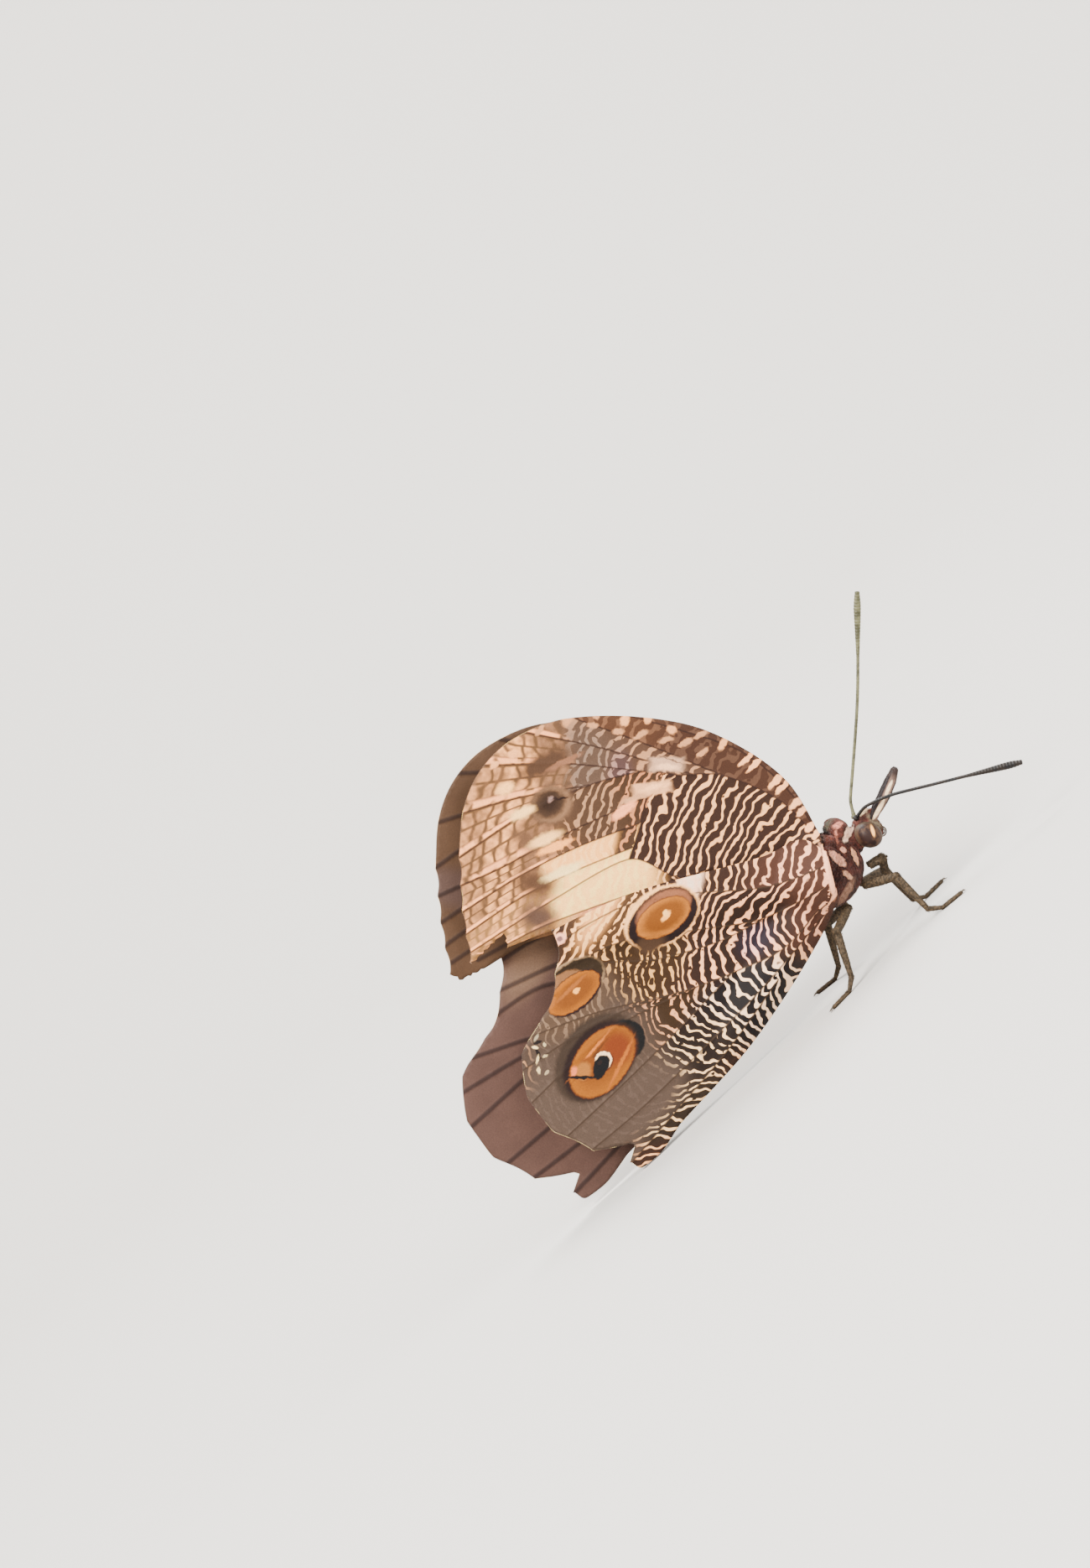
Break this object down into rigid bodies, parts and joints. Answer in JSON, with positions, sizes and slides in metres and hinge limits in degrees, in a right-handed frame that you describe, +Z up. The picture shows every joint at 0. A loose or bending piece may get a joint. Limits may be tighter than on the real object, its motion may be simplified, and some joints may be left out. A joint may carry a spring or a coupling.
{
  "type": "owl-type forest butterfly",
  "caption": "A life-size, museum-style forest butterfly standing with its wings closed over its back, brown zebra-marked undersides with orange eyespots, on four thin legs with long feelers.",
  "frame": {"origin": "under the middle of the whole butterfly, on the floor that its feet stand on", "axes": "+X forward to the head along the body, +Y to the butterfly's left, +Z up"},
  "size_m": [0.0738, 0.0155, 0.0473],
  "materials": {
    "wing_scales": "matt overlapping scales",
    "body_fur": "short dense fur",
    "eye_lens": "satin facets with sparse hair",
    "shell": "satin shell with fine scales"
  },
  "bodies": {
    "root": {"thorax": "body_fur", "head": "body_fur", "abdomen": "body_fur", "eye_left": "eye_lens", "eye_right": "eye_lens", "antenna_left": "shell", "antenna_right": "shell", "palp_left": "body_fur", "palp_right": "body_fur", "foreleg_left": "body_fur", "foreleg_right": "body_fur", "midleg_left": "shell", "midleg_right": "shell", "hindleg_left": "shell", "hindleg_right": "shell", "forewing_left": "wing_scales", "forewing_right": "wing_scales", "hindwing_left": "wing_scales", "hindwing_right": "wing_scales"}
  },
  "joints": []
}
